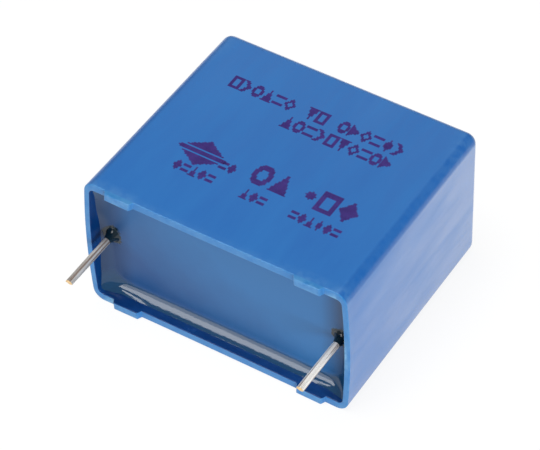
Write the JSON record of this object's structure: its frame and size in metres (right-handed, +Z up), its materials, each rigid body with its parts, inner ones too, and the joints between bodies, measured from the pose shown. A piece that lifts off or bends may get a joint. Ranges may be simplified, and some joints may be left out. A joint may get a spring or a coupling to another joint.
{
  "type": "box film capacitor",
  "caption": "Radial-lead film capacitor in a moulded plastic box with standoff feet and a resin seal, soldered to a circuit board by its wire leads.",
  "frame": {"origin": "midway between the two leads, on the plane of the standoff feet that meets the board", "axes": "+X along the row of leads, -Y the way the leads leave the case, +Z up; the capacitor lies on one of its two wide walls"},
  "size_m": [0.0316, 0.0325, 0.0172],
  "materials": {
    "case_plastic": "moulded, satin gloss",
    "seal_resin": "cast, glossy",
    "metallised_film": "metallised",
    "blank_film": "clear film",
    "sprayed_metal": "sprayed zinc, matt and grainy",
    "tinned_wire": "drawn wire, tinned"
  },
  "bodies": {
    "root": {"case": "case_plastic", "potting_resin": "seal_resin", "film_winding": "metallised_film", "cover_film": "blank_film", "contact_layer_left": "sprayed_metal", "contact_layer_right": "sprayed_metal", "lead_wire_left": "tinned_wire", "lead_wire_right": "tinned_wire"}
  },
  "joints": []
}
